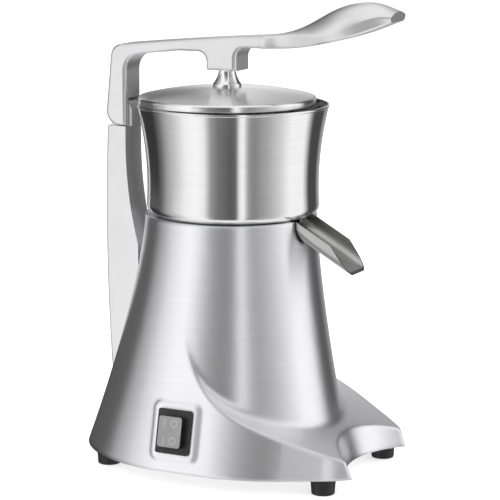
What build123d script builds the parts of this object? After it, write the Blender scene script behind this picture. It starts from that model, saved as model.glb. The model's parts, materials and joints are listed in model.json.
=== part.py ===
from build123d import *
from math import asin, atan, cos, degrees, radians, sin, tan
import os

# Lever citrus juicer, millimetres. +Z is up, -Y is the front where the juice runs out,
# and the origin lies under the bowl axis on the surface that the feet stand on.

# Overlap that merges shapes drawn one by one, and the slack used to tell faces apart
merge = 1.0
face_slack = 0.01

# Feet
foot_height = 13.0
foot_radius = 10.4
foot_bottom_radius = 9.4
foot_edge_round = 1.2
front_foot_setback = 27.5
front_foot_inset = 11.9
rear_foot_setback = 41.2
rear_foot_inset = 42.1
foot_post_radius = 9.0
foot_screw_radius = 2.5
foot_screw_grip = 14.0
foot_recess_radius = 5.4
foot_recess_depth = 6.0
pan_head_radius = 4.6
pan_head_height = 3.2

# Flared casting: half widths at the top edge and at the base, and how hard each side flares.
# Rises and drops of what stands on it or hangs in it are measured from its top edge.
casting_top_z = 212.0
casting_wall = 5.0
tower_top_side = 71.3
tower_top_front = 70.0
tower_top_back = 73.5
base_side = 103.7
base_front = 98.5
base_back = 127.2
side_flare = 1.5
front_flare = 1.4
back_flare = 1.37
tower_levels = 6
tower_skin = 0.02

# Legs that reach forward on both sides of the glass
flank_turn_y = -19.0
flank_turn_radius = 140.0
flank_turn_angle = 28.2
leg_reach = 140.0
leg_run_out = 8.0
tip_turn_start = 25.0
tip_turn_radius = 80.0
glass_recess_radius = 79.6
glass_recess_draft = 18.6
glass_recess_height = 50.0
glass_recess_offset = 53.0
deck_low_y = -60.0
deck_low_z = 54.5
deck_slope = 21.0
deck_curve_radius = 130.0
deck_curve_end = 61.0
deck_round = 9.0
ridge_margin = 2.0

# Well that the bowl stands in
well_radius = 59.5
well_floor_drop = 9.4
well_floor_thickness = 6.5

# Rear column
column_half_width = 13.5
column_seat_y = 84.0
column_bottom_z = 62.0
column_front_y = 95.4
column_sweep_radius = 325.0
column_sweep_top_rise = 53.0
column_back_low_y = 110.4
column_back_mid_y = 115.0
column_back_top_y = 113.3
column_rib_depth = 6.0
column_rib_margin = 6.0
column_edge_round = 2.0
column_screw_radius = 3.0
column_screw_head_radius = 5.0
column_screw_head_height = 5.0
column_screw_grip = 14.0
column_screw_shares = (0.173, 0.52)

# Lever pivot at the top of the column
pivot_y = 102.4
pivot_rise = 80.7
fork_end_radius = 12.2
fork_gap = 0.4
fork_slot_half = 7.9
tongue_half = 7.6
tongue_top_radius = 9.8
pivot_pin_radius = 4.0
pivot_bush_radius = 6.0
running_clearance = 0.03
pin_blind_cover = 2.5

# Lever casting: fork, arm, block and handle
lever_half_width = 13.5
fork_front_y = 95.4
fork_web_gap = 1.3
arm_heel_y = 109.0
arm_heel_rise = 136.8
arm_heel_round = 11.0
arm_mid_y = 40.0
arm_mid_rise = 143.8
arm_end_y = -30.0
arm_end_top_rise = 149.6
arm_under_rise = 134.4
arm_thin_y = 45.0
arm_root_under_rise = 128.5
arm_root_round = 15.0
block_back_y = 18.8
block_front_y = -8.4
block_bottom_rise = 119.6
block_back_round = 8.0
handle_under_rise = 139.2
block_front_round = 9.0
lever_edge_round = 3.0

# Handle: its crown and underside as curves in the middle plane, each point a reach forward of the
# arm's end and a rise above it, its half widths, and how far its root laps over the arm
handle_crown = ((36.0, 8.4), (69.0, 25.2), (91.0, 29.6), (118.0, 23.2))
handle_crown_end_slope = -0.42
handle_underside = ((36.0, 2.2), (67.0, 8.6), (91.0, 15.6), (116.5, 25.4))
handle_under_end_slope = 0.4
handle_lap = 0.1
handle_swell = 6.2
handle_swell_start = 0.18
handle_swell_power = 1.5
handle_tip_half = 15.5
handle_under_draw = 2.5
handle_leaf_rim = 0.24
handle_tip_rim = 0.5
handle_edge_round = 2.0
handle_stations = 10

# Press lid, its knob and the press cup
lid_axis_y = 5.4
lid_radius = 74.0
lid_edge_rise = 92.2
lid_wall_height = 5.2
lid_shoulder_round = 2.5
lid_crown_rise = 105.8
lid_crown_bulge = 1.6
lid_sheet = 1.2
knob_bottom_radius = 11.8
knob_top_radius = 7.0
knob_waist = 0.9
knob_gap = 1.0
knob_foot_height = 2.0
tang_half = 4.0
tang_reach = 5.0
tang_side_clearance = 0.3
tang_slot_reach = 7.0
lid_pin_rise = 129.0
lid_pin_radius = 2.5
lid_bolt_radius = 3.0
lid_bolt_head_radius = 5.5
lid_bolt_head_height = 4.0
lid_bolt_grip = 9.0
screw_clearance = 0.05
cup_mouth_radius = 46.0
cup_mouth_rise = 38.0
cup_crown_rise = 80.0
cup_wall = 3.0
cup_boss_radius = 10.0
cup_bulge_out = 0.63
cup_bulge_up = 0.72

# Juice bowl
bowl_sheet = 1.2
bowl_rim_radius = 80.0
bowl_rim_rise = 91.6
bowl_waist_radius = 72.9
bowl_waist_rise = 52.0
bowl_foot_radius = 71.9
bowl_foot_rise = 9.0
bowl_corner_round = 7.0
bowl_seat_gap = 0.6
drum_radius = 58.0
drum_round = 3.0
tube_outer_radius = 10.2
tube_top_rise = 12.0
bowl_hem_radius = 1.1

# Spout, a folded trough that leaves the drum and runs down to the front
spout_angle = 29.2
spout_half_width = 19.0
spout_depth = 11.4
spout_sheet = 1.2
spout_corner_round = 8.0
spout_lip_y = -114.6
spout_rake = 35.0
spout_run = 80.0
spout_root_run = 14.0
spout_top_gap = 1.0
spout_slot_height = 64.0
seal_thickness = 2.0
seal_inset = 0.6

# Strainer and reamer
strainer_radius = 64.0
strainer_sheet = 1.0
strainer_top_radius = 67.0
strainer_top_rise = 26.0
strainer_hole_radius = 13.0
strainer_slots = 28
strainer_slot_width = 2.2
strainer_slot_inner = 20.0
strainer_slot_outer = 58.0
strainer_short_share = 0.67
reamer_gap = 1.8
reamer_flange_radius = 42.0
reamer_flange_height = 3.0
reamer_core_radius = 31.0
reamer_rib_radius = 37.0
reamer_tip_rise = 65.0
reamer_ribs = 10
reamer_rib_width = 4.2
reamer_tip_radius = 3.0
reamer_bulge_out = 0.68
reamer_bulge_up = 0.55
reamer_hub_clearance = 2.0

# Motor
shaft_radius = 6.0
shaft_flat = 4.6
shaft_bottom_drop = 160.0
shaft_top_rise = 38.0
shaft_tip_chamfer = 0.8
bearing_radius = 16.0
bearing_width = 10.0
seal_ring_radius = 13.0
seal_ring_clearance = 0.3
stator_radius = 52.0
stator_bore_radius = 28.2
stator_bottom_drop = 102.0
stator_height = 45.0
air_gap = 0.5
rotor_ring_height = 5.0
rotor_ring_radius = 24.0
winding_inner_radius = 29.5
winding_outer_radius = 40.5
winding_height = 17.0
winding_round = 4.0
shield_skirt_inner = 43.0
shield_skirt_height = 28.0
tie_bolt_circle = 47.5
tie_bolt_radius = 2.0
tie_bolt_count = 4
tie_head_radius = 3.6
tie_head_height = 3.0
mount_screw_circle = 36.0
mount_screw_radius = 2.5
mount_screw_count = 4
mount_screw_turn = 45.0
mount_head_radius = 4.4
mount_head_height = 4.0
mount_screw_grip = 8.0
fan_radius = 44.0
fan_hub_radius = 11.0
fan_height = 12.0
fan_gap = 3.0
fan_blades = 9
fan_blade_width = 2.2
fan_plate = 2.0

# Base plate and what stands on it
plate_thickness = 2.0
plate_clearance = 1.0
vent_slots = 7
vent_length = 44.0
vent_width = 3.6
vent_pitch = 9.0
capacitor_radius = 16.0
capacitor_height = 58.0
capacitor_x = 46.0
capacitor_y = 52.0
capacitor_round = 2.0
capacitor_tab_offset = 5.3
holder_wall = 1.6
holder_height = 12.0
holder_flange = 4.0
terminal_block_x = -40.0
terminal_block_y = 62.0
terminal_block_length = 30.0
terminal_block_width = 16.0
terminal_block_height = 13.0
terminal_ways = 3
terminal_wire_radius = 2.5
terminal_wire_height = 4.3
terminal_screw_radius = 3.1
terminal_screw_depth = 3.9

# Rocker switch on the left flank
switch_y = 3.2
switch_z = 46.0
pad_raise = 2.2
pad_width = 39.5
pad_height = 46.0
pad_depth = 11.0
pad_draft_growth = 7.0
pad_corner = 5.0
bezel_width = 30.0
bezel_height = 36.4
bezel_thickness = 2.4
bezel_corner = 2.0
switch_body_width = 22.0
switch_body_height = 30.0
switch_body_depth = 24.0
panel_clearance = 0.2
rocker_width = 17.0
rocker_height = 23.0
rocker_gap = 0.5
rocker_pocket_depth = 12.0
rocker_axis_depth = 2.5
rocker_crest = 1.8
rocker_thickness = 6.5
rocker_throw = 18.0
rocker_pin_radius = 1.5
rocker_pin_reach = 1.5
boot_width = 20.6
boot_height = 25.0
boot_rise = 6.4
boot_wall = 1.0
boot_corner = 2.4
blade_width = 6.3
blade_thickness = 0.8
blade_length = 9.0

# Cable gland in the back wall
gland_z = 34.0
gland_seat_y = 116.5
gland_radius = 7.9
gland_flange_radius = 11.5
gland_flange_thickness = 3.0
gland_dome_length = 4.0
gland_dome_step = 1.0
gland_lip = 2.0
gland_bore_radius = 4.0
gland_boss_radius = 13.0
gland_boss_y = 107.0
gland_nut_thickness = 4.5
gland_nut_radius = 11.5
gland_thread_spare = 2.0

# Heights and places that follow from the sizes above
well_floor_z = casting_top_z - well_floor_drop
column_sweep_top_z = casting_top_z + column_sweep_top_rise
pivot_z = casting_top_z + pivot_rise
arm_heel_z = casting_top_z + arm_heel_rise
arm_mid_z = casting_top_z + arm_mid_rise
arm_end_top_z = casting_top_z + arm_end_top_rise
arm_under_z = casting_top_z + arm_under_rise
arm_root_under_z = casting_top_z + arm_root_under_rise
block_bottom_z = casting_top_z + block_bottom_rise
handle_under_z = casting_top_z + handle_under_rise
lid_edge_z = casting_top_z + lid_edge_rise
lid_crown_z = casting_top_z + lid_crown_rise
lid_pin_z = casting_top_z + lid_pin_rise
cup_mouth_z = casting_top_z + cup_mouth_rise
cup_crown_z = casting_top_z + cup_crown_rise
bowl_rim_z = casting_top_z + bowl_rim_rise
bowl_waist_z = casting_top_z + bowl_waist_rise
bowl_foot_z = casting_top_z + bowl_foot_rise
tube_top_z = casting_top_z + tube_top_rise
strainer_top_z = casting_top_z + strainer_top_rise
reamer_tip_z = casting_top_z + reamer_tip_rise
shaft_bottom_z = casting_top_z - shaft_bottom_drop
shaft_top_z = casting_top_z + shaft_top_rise
stator_bottom_z = casting_top_z - stator_bottom_drop
cavity_top_z = well_floor_z - well_floor_thickness
plate_top_z = foot_height + plate_thickness
shoulder_z = pivot_z - fork_end_radius - fork_gap
glass_recess_y = -leg_reach - glass_recess_offset
column_screw_heights = [column_bottom_z + share * (casting_top_z - column_bottom_z)
                        for share in column_screw_shares]
shelf_z = casting_top_z + bowl_seat_gap
drum_floor_z = well_floor_z + bowl_sheet
upper_shield_top_z = cavity_top_z
stator_top_z = stator_bottom_z + stator_height
upper_bearing_z = upper_shield_top_z - bearing_width
lower_shield_top_z = stator_bottom_z - shield_skirt_height + bearing_width
lower_bearing_z = lower_shield_top_z - bearing_width
flank_bend_y = flank_turn_y - flank_turn_radius * sin(radians(flank_turn_angle))
flank_bend_inset = flank_turn_radius * (1 - cos(radians(flank_turn_angle)))


def upright(radius, bottom_z, top_z, x=0.0, y=0.0):
    return Pos(x, y, (bottom_z + top_z) / 2) * Cylinder(radius, top_z - bottom_z)


def ring(outer, inner, bottom_z, top_z, x=0.0, y=0.0):
    return upright(outer, bottom_z, top_z, x, y) - upright(inner, bottom_z, top_z, x, y)


def bar_x(radius, left_x, right_x, y, z):
    return Pos((left_x + right_x) / 2, y, z) * Rot(0, 90, 0) * Cylinder(radius, right_x - left_x)


def bar_y(radius, front_y, back_y, z, x=0.0):
    return Pos(x, (front_y + back_y) / 2, z) * Rot(90, 0, 0) * Cylinder(radius, back_y - front_y)


def span_box(x_low, x_high, y_low, y_high, z_low, z_high):
    centre = Pos((x_low + x_high) / 2, (y_low + y_high) / 2, (z_low + z_high) / 2)
    return centre * Box(x_high - x_low, y_high - y_low, z_high - z_low)


def turned(edges):
    return revolve(Plane.XZ * make_face(edges), axis=Axis.Z)


def side_profile(edges, half_width):
    return extrude(Plane.YZ * make_face(edges), amount=half_width, both=True)


def on_circle(count, radius, first_angle=0.0):
    for index in range(count):
        angle = radians(first_angle + index * 360.0 / count)
        yield radius * cos(angle), radius * sin(angle)


def group(shapes):
    return Compound(children=[solid for shape in shapes for solid in shape.solids()])


# Casting
def flare(top, base, power, z):
    drop = (casting_top_z - z) / (casting_top_z - foot_height)
    return top + (base - top) * drop ** power


def tower_half_axes(z, inset):
    side = flare(tower_top_side, base_side, side_flare, z) - inset
    front = flare(tower_top_front, base_front, front_flare, z) - inset
    back = flare(tower_top_back, base_back, back_flare, z) - inset
    return side, (front + back) / 2, (back - front) / 2


def tower_heights():
    step = (casting_top_z - foot_height) / (tower_levels - 1)
    return [foot_height + index * step for index in range(tower_levels)]


def tower_form(inset):
    sections = []
    for z in tower_heights():
        side, depth, centre_y = tower_half_axes(z, inset)
        sections.append(Pos(0, centre_y, z) * Ellipse(side, depth))
    return loft(sections)


def leg_half_width(side, y):
    return side - flank_bend_inset - (flank_bend_y - y) * tan(radians(flank_turn_angle))


def foot_places():
    front_y = -leg_reach + front_foot_setback
    front_x = leg_half_width(base_side, front_y) - front_foot_inset
    rear_x = base_side - rear_foot_inset
    rear_y = base_back - rear_foot_setback
    return {
        "foot_front_left": (-front_x, front_y),
        "foot_front_right": (front_x, front_y),
        "foot_rear_left": (-rear_x, rear_y),
        "foot_rear_right": (rear_x, rear_y),
    }


def skirt_section(z, inset):
    side, depth, centre_y = tower_half_axes(z, inset)
    radius = flank_turn_radius
    bend_x = side - flank_bend_inset
    bend_y = flank_bend_y
    turn_y = -leg_reach + tip_turn_start
    turn_x = leg_half_width(side, turn_y)
    tip_centre_x = turn_x - tip_turn_radius * cos(radians(flank_turn_angle))
    tip_centre_y = turn_y + tip_turn_radius * sin(radians(flank_turn_angle))
    front_y = -leg_reach - leg_run_out
    tip_angle = degrees(asin((tip_centre_y - front_y) / tip_turn_radius))
    tip_sweep = tip_angle - flank_turn_angle
    tip_x = tip_centre_x + tip_turn_radius * cos(radians(tip_angle))
    edges = [
        EllipticalCenterArc((0, centre_y), side, depth, start_angle=0, arc_size=180),
        Line((-side, centre_y), (-side, flank_turn_y)),
        CenterArc((radius - side, flank_turn_y), radius, 180, flank_turn_angle),
        Line((-bend_x, bend_y), (-turn_x, turn_y)),
        CenterArc((-tip_centre_x, tip_centre_y), tip_turn_radius, 180 + flank_turn_angle, tip_sweep),
        Line((-tip_x, front_y), (tip_x, front_y)),
        CenterArc((tip_centre_x, tip_centre_y), tip_turn_radius, -tip_angle, tip_sweep),
        Line((turn_x, turn_y), (bend_x, bend_y)),
        CenterArc((side - radius, flank_turn_y), radius, -flank_turn_angle, flank_turn_angle),
        Line((side, flank_turn_y), (side, centre_y)),
    ]
    return Pos(0, 0, z) * make_face(edges)


def above_deck(drop):
    slope = radians(deck_slope)
    end = radians(deck_curve_end)
    low_z = deck_low_z - drop
    front_y = -leg_reach - 2 * leg_run_out
    front_z = low_z - (deck_low_y - front_y) * tan(slope)
    centre_y = deck_low_y - deck_curve_radius * sin(slope)
    centre_z = low_z + deck_curve_radius * cos(slope)
    end_y = centre_y + deck_curve_radius * sin(end)
    end_z = centre_z - deck_curve_radius * cos(end)
    top_z = casting_top_z + leg_run_out
    edges = [
        Line((front_y, front_z), (deck_low_y, low_z)),
        CenterArc((centre_y, centre_z), deck_curve_radius, deck_slope - 90, deck_curve_end - deck_slope),
        Line((end_y, end_z), (end_y, top_z)),
        Line((end_y, top_z), (front_y, top_z)),
        Line((front_y, top_z), (front_y, front_z)),
    ]
    return side_profile(edges, base_side + leg_run_out)


def glass_recess(margin):
    low = glass_recess_radius + margin
    high = low + glass_recess_height * tan(radians(glass_recess_draft))
    upper = Pos(0, glass_recess_y, foot_height + glass_recess_height / 2) * Cone(low, high, glass_recess_height)
    return upper + upright(low, 0, foot_height, 0, glass_recess_y)


def casting_form(inset):
    skirt = loft([skirt_section(z, inset) for z in tower_heights()])
    deck_drop = inset / cos(radians(deck_slope))
    form = skirt - (above_deck(deck_drop) - tower_form(inset - tower_skin))
    return form - glass_recess(inset)


def outside_tower(place):
    side, depth, centre_y = tower_half_axes(place.Z, 0.0)
    return (place.X / side) ** 2 + ((place.Y - centre_y) / depth) ** 2 > 1 + ridge_margin / base_side


def deck_edges(form):
    for face in form.faces():
        rise = cos(radians(deck_slope))
        flat = face.geom_type == GeomType.PLANE and abs(face.normal_at().Z - rise) < face_slack
        bent = face.geom_type == GeomType.CYLINDER and abs(face.radius - deck_curve_radius) < face_slack
        if flat or bent:
            yield from face.edges()


def softened_casting_form():
    form = casting_form(0.0)
    core = [edge for edge in deck_edges(form) if edge.geom_type == GeomType.BSPLINE
            and not outside_tower(edge.center())]
    return fillet(core, deck_round)


def switch_plane():
    side = flare(tower_top_side, base_side, side_flare, switch_z)
    rise = 1.0
    lean = flare(tower_top_side, base_side, side_flare, switch_z - rise) - side
    lean_angle = atan(lean / rise)
    normal = (-cos(lean_angle), 0, sin(lean_angle))
    return Plane(origin=(-side - pad_raise, switch_y, switch_z), x_dir=(0, -1, 0), z_dir=normal)


def switch_block(width, height, low, high, corner=0.0):
    outline = RectangleRounded(width, height, corner) if corner else Rectangle(width, height)
    return switch_plane() * (Pos(0, 0, low) * extrude(outline, amount=high - low))


def switch_pad():
    top = RectangleRounded(pad_width, pad_height, pad_corner)
    growth = 2 * pad_draft_growth
    root = RectangleRounded(pad_width + growth, pad_height + growth, pad_corner + pad_draft_growth)
    return switch_plane() * loft([Pos(0, 0, -pad_depth) * root, top])


def trough(margin, wall_top, start, run):
    half = spout_half_width + margin
    low = -spout_sheet - margin
    corner = spout_corner_round + margin
    edges = [
        Line((-half, wall_top), (-half, low + corner)),
        CenterArc((-half + corner, low + corner), corner, 180, 90),
        Line((-half + corner, low), (half - corner, low)),
        CenterArc((half - corner, low + corner), corner, 270, 90),
        Line((half, low + corner), (half, wall_top)),
        Line((half, wall_top), (-half, wall_top)),
    ]
    flow = (0, -cos(radians(spout_angle)), -sin(radians(spout_angle)))
    root = Plane(origin=(0, -drum_radius, drum_floor_z), x_dir=(1, 0, 0), z_dir=flow)
    return root * (Pos(0, 0, start) * extrude(make_face(edges), amount=run))


def spout_slot():
    return trough(seal_thickness, spout_slot_height, -spout_root_run / 2, spout_run)


def casting_cavity():
    cavity = casting_form(casting_wall) - span_box(-base_side, base_side, -leg_reach, base_back,
                                                   cavity_top_z, casting_top_z + leg_run_out)
    rib_half = column_half_width + column_rib_margin
    cavity -= span_box(-rib_half, rib_half, column_seat_y - column_rib_depth, base_back,
                       column_bottom_z - column_rib_margin, casting_top_z)
    for x, y in foot_places().values():
        cavity -= upright(foot_post_radius, plate_top_z, casting_top_z, x, y)
    return cavity - bar_y(gland_boss_radius, gland_boss_y, base_back, gland_z)


def body_casting():
    casting = softened_casting_form() + switch_pad()
    casting -= casting_cavity()
    casting -= upright(well_radius, well_floor_z, casting_top_z + merge)
    casting -= upright(seal_ring_radius, cavity_top_z, well_floor_z)
    casting -= spout_slot()
    casting -= span_box(-column_half_width, column_half_width, column_seat_y, 2 * base_back,
                        column_bottom_z, casting_top_z)
    hole_y = column_seat_y - column_rib_depth - merge
    for z in column_screw_heights:
        casting -= bar_y(column_screw_radius + screw_clearance, hole_y, column_seat_y, z)
    for x, y in foot_places().values():
        casting -= upright(foot_screw_radius + screw_clearance, plate_top_z,
                           plate_top_z + foot_screw_grip, x, y)
    for x, y in on_circle(mount_screw_count, mount_screw_circle, mount_screw_turn):
        casting -= upright(mount_screw_radius + screw_clearance, cavity_top_z, well_floor_z, x, y)
        casting -= upright(mount_head_radius + 4 * screw_clearance, well_floor_z - mount_head_height,
                           well_floor_z, x, y)
    opening = 2 * panel_clearance
    casting -= switch_block(switch_body_width + opening, switch_body_height + opening,
                            -2 * switch_body_depth, merge)
    casting -= bar_y(gland_radius + panel_clearance, gland_boss_y - merge, 2 * base_back, gland_z)
    casting -= bar_y(gland_boss_radius, gland_seat_y, 2 * base_back, gland_z)
    return casting


# Feet, base plate and the parts on it
def foot(x, y):
    body = Pos(x, y, foot_height / 2) * Rot(180, 0, 0) * Cone(foot_radius, foot_bottom_radius, foot_height)
    body = fillet(body.edges().group_by(Axis.Z)[0], foot_edge_round)
    body -= upright(foot_screw_radius + 2 * screw_clearance, 0, foot_height, x, y)
    return body - upright(foot_recess_radius, 0, foot_recess_depth, x, y)


def pan_screw(radius, head_radius, head_height, seat_z, end_z, x, y):
    head_end = seat_z - head_height if end_z > seat_z else seat_z + head_height
    low, high = sorted((seat_z, head_end))
    shank_low, shank_high = sorted((seat_z, end_z))
    return upright(head_radius, low, high, x, y) + upright(radius, shank_low, shank_high, x, y)


def foot_screws():
    screws = []
    for x, y in foot_places().values():
        screws.append(pan_screw(foot_screw_radius, pan_head_radius, pan_head_height, foot_recess_depth,
                                plate_top_z + foot_screw_grip, x, y))
    return group(screws)


def base_plate():
    inset = casting_wall + plate_clearance
    plate = extrude(skirt_section(foot_height, inset), amount=plate_thickness)
    plate -= glass_recess(inset)
    plate -= span_box(-base_side, base_side, -2 * leg_reach, -leg_reach + 2 * inset, 0, casting_top_z)
    for x, y in foot_places().values():
        plate -= upright(foot_screw_radius + 2 * screw_clearance, 0, casting_top_z, x, y)
    for index in range(vent_slots):
        slot_y = (index - (vent_slots - 1) / 2) * vent_pitch
        slot = Pos(0, slot_y, foot_height) * SlotOverall(vent_length, vent_width)
        plate -= extrude(slot, amount=plate_thickness)
    return plate


def run_capacitor():
    top_z = plate_top_z + capacitor_height
    can = upright(capacitor_radius, plate_top_z, top_z, capacitor_x, capacitor_y)
    can = fillet(can.edges().group_by(Axis.Z)[-1], capacitor_round)
    for tab_x in (capacitor_x - capacitor_tab_offset, capacitor_x + capacitor_tab_offset):
        tab = Pos(tab_x, capacitor_y, top_z + (blade_length - merge) / 2)
        can += tab * Box(blade_thickness, blade_width, blade_length + merge)
    return can


def capacitor_holder():
    inner = capacitor_radius + screw_clearance
    outer = inner + holder_wall
    sleeve = ring(outer, inner, plate_top_z, plate_top_z + holder_height, capacitor_x, capacitor_y)
    flange_top_z = plate_top_z + holder_wall
    flange = ring(outer + holder_flange, inner, plate_top_z, flange_top_z, capacitor_x, capacitor_y)
    return sleeve + flange


def terminal_block():
    top_z = plate_top_z + terminal_block_height
    half_length = terminal_block_length / 2
    front_y = terminal_block_y - terminal_block_width / 2
    back_y = terminal_block_y + terminal_block_width / 2
    block = span_box(terminal_block_x - half_length, terminal_block_x + half_length,
                     front_y, back_y, plate_top_z, top_z)
    pitch = terminal_block_length / terminal_ways
    for index in range(terminal_ways):
        way_x = terminal_block_x + (index - (terminal_ways - 1) / 2) * pitch
        block -= bar_y(terminal_wire_radius, front_y, back_y, plate_top_z + terminal_wire_height, way_x)
        block -= upright(terminal_screw_radius, top_z - terminal_screw_depth, top_z, way_x, terminal_block_y)
    return block


def cable_gland():
    inner_y = gland_boss_y - gland_nut_thickness - gland_thread_spare
    flange_y = gland_seat_y + gland_flange_thickness
    gland = bar_y(gland_radius, inner_y, flange_y, gland_z)
    gland += bar_y(gland_flange_radius, gland_seat_y, flange_y, gland_z)
    dome = Pos(0, flange_y + gland_dome_length / 2, gland_z) * Rot(-90, 0, 0)
    dome_radius = gland_flange_radius - gland_dome_step
    gland += dome * Cone(dome_radius, gland_bore_radius + gland_lip, gland_dome_length)
    return gland - bar_y(gland_bore_radius, inner_y, 2 * base_back, gland_z)


def gland_nut():
    outline = RegularPolygon(gland_nut_radius, 6)
    nut = Pos(0, gland_boss_y, gland_z) * Rot(90, 0, 0) * extrude(outline, amount=gland_nut_thickness)
    return nut - bar_y(gland_radius + screw_clearance, 0, base_back, gland_z)


# Rocker switch
def switch_housing():
    housing = switch_block(bezel_width, bezel_height, 0, bezel_thickness, bezel_corner)
    housing += switch_block(switch_body_width, switch_body_height, -switch_body_depth, 0)
    pocket_width = rocker_width + 2 * rocker_gap
    pocket_height = rocker_height + 4 * rocker_gap
    pocket_low = bezel_thickness - rocker_pocket_depth
    housing -= switch_block(pocket_width, pocket_height, pocket_low, bezel_thickness)
    return housing - rocker_pin(rocker_pin_radius + running_clearance)


def rocker_pin(radius):
    reach = rocker_width / 2 + rocker_gap + rocker_pin_reach
    return switch_plane() * bar_x(radius, -reach, reach, 0, bezel_thickness - rocker_axis_depth)


def rocker():
    half = rocker_height / 2
    low = -rocker_thickness
    edges = [
        Line((-half, 0), (0, rocker_crest)),
        Line((0, rocker_crest), (half, 0)),
        Line((half, 0), (half, low / 2)),
        Line((half, low / 2), (0, low)),
        Line((0, low), (-half, low / 2)),
        Line((-half, low / 2), (-half, 0)),
    ]
    body = extrude(Plane.YZ * make_face(edges), amount=rocker_width / 2, both=True)
    tilt = Rot(rocker_throw / 2, 0, 0)
    turned_body = switch_plane() * (Pos(0, 0, bezel_thickness - rocker_axis_depth) * tilt * body)
    return turned_body + rocker_pin(rocker_pin_radius)


def switch_boot():
    low = bezel_thickness
    boot = switch_block(boot_width, boot_height, low, low + boot_rise, boot_corner)
    return boot - switch_block(boot_width - 2 * boot_wall, boot_height - 2 * boot_wall, low,
                               low + boot_rise - boot_wall, boot_corner - boot_wall)


def switch_blades():
    blades = []
    for x in (-switch_body_width / 4, switch_body_width / 4):
        for y in (-switch_body_height / 4, switch_body_height / 4):
            place = switch_plane() * Pos(x, y, -switch_body_depth - blade_length / 2)
            blades.append(place * Box(blade_thickness, blade_width, blade_length))
    return group(blades)


# Column and lever
def rear_column():
    sweep_centre_y = column_front_y - column_sweep_radius
    sweep_drop = (column_sweep_radius ** 2 - (column_seat_y - sweep_centre_y) ** 2) ** 0.5
    sweep_low_z = column_sweep_top_z - sweep_drop
    sweep_angle = degrees(atan(sweep_drop / (column_seat_y - sweep_centre_y)))
    mid_z = (column_bottom_z + shoulder_z) / 2
    edges = [
        Line((column_seat_y, column_bottom_z), (column_seat_y, sweep_low_z)),
        CenterArc((sweep_centre_y, column_sweep_top_z), column_sweep_radius, -sweep_angle, sweep_angle),
        Line((column_front_y, column_sweep_top_z), (column_front_y, shoulder_z)),
        Line((column_front_y, shoulder_z), (column_back_top_y, shoulder_z)),
        ThreePointArc((column_back_top_y, shoulder_z), (column_back_mid_y, mid_z),
                      (column_back_low_y, column_bottom_z)),
        Line((column_back_low_y, column_bottom_z), (column_seat_y, column_bottom_z)),
    ]
    column = side_profile(edges, column_half_width)
    backs = [edge for edge in column.edges() if edge.geom_type == GeomType.CIRCLE
             and edge.center().Y > (column_front_y + column_back_mid_y) / 2]
    column = fillet(backs, column_edge_round)
    tongue = span_box(-tongue_half, tongue_half, pivot_y - tongue_top_radius, pivot_y + tongue_top_radius,
                      shoulder_z, pivot_z)
    tongue += bar_x(tongue_top_radius, -tongue_half, tongue_half, pivot_y, pivot_z)
    column += tongue
    column -= bar_x(pivot_bush_radius, -tongue_half, tongue_half, pivot_y, pivot_z)
    for z in column_screw_heights:
        column -= bar_y(column_screw_radius + screw_clearance, column_seat_y,
                        column_seat_y + column_screw_grip, z)
    return column


def column_screws():
    seat_y = column_seat_y - column_rib_depth
    screws = []
    for z in column_screw_heights:
        head = bar_y(column_screw_head_radius, seat_y - column_screw_head_height, seat_y, z)
        screws.append(head + bar_y(column_screw_radius, seat_y, column_seat_y + column_screw_grip, z))
    return group(screws)


def pivot_bush():
    tube = bar_x(pivot_bush_radius, -tongue_half, tongue_half, pivot_y, pivot_z)
    return tube - bar_x(pivot_pin_radius + running_clearance, -tongue_half, tongue_half, pivot_y, pivot_z)


def lever_pin():
    return bar_x(pivot_pin_radius, -lever_half_width + pin_blind_cover, lever_half_width, pivot_y, pivot_z)


def arm_crown():
    return ThreePointArc((arm_heel_y, arm_heel_z), (arm_mid_y, arm_mid_z), (arm_end_y, arm_end_top_z))


def lever_arm():
    fork_low = pivot_z - fork_end_radius
    fork_back_y = pivot_y + fork_end_radius
    edges = [
        Line((fork_front_y, fork_low), (pivot_y, fork_low)),
        CenterArc((pivot_y, pivot_z), fork_end_radius, -90, 90),
        Line((fork_back_y, pivot_z), (arm_heel_y, arm_heel_z)),
        arm_crown(),
    ]
    edges += Polyline(
        (arm_end_y, arm_end_top_z), (arm_end_y, handle_under_z), (block_front_y, handle_under_z),
        (block_front_y, block_bottom_z), (block_back_y, block_bottom_z), (block_back_y, arm_under_z),
        (arm_thin_y, arm_under_z), (fork_front_y, arm_root_under_z), (fork_front_y, fork_low)).edges()
    outline = make_face(edges)
    corners = (
        ((arm_heel_y, arm_heel_z), arm_heel_round),
        ((block_front_y, handle_under_z), block_front_round),
        ((block_back_y, arm_under_z), block_back_round),
        ((fork_front_y, arm_root_under_z), arm_root_round),
    )
    for place, radius in corners:
        corner = outline.vertices().sort_by_distance((place[0], place[1], 0))[0]
        outline = fillet(corner, radius)
    arm = extrude(Plane.YZ * outline, amount=lever_half_width, both=True)
    flank_edges = [edge for edge in arm.edges() if abs(edge.center().X) > lever_half_width / 2
                   and edge.center().Y > arm_end_y + lever_edge_round / 2]
    return fillet(flank_edges, lever_edge_round)


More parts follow.
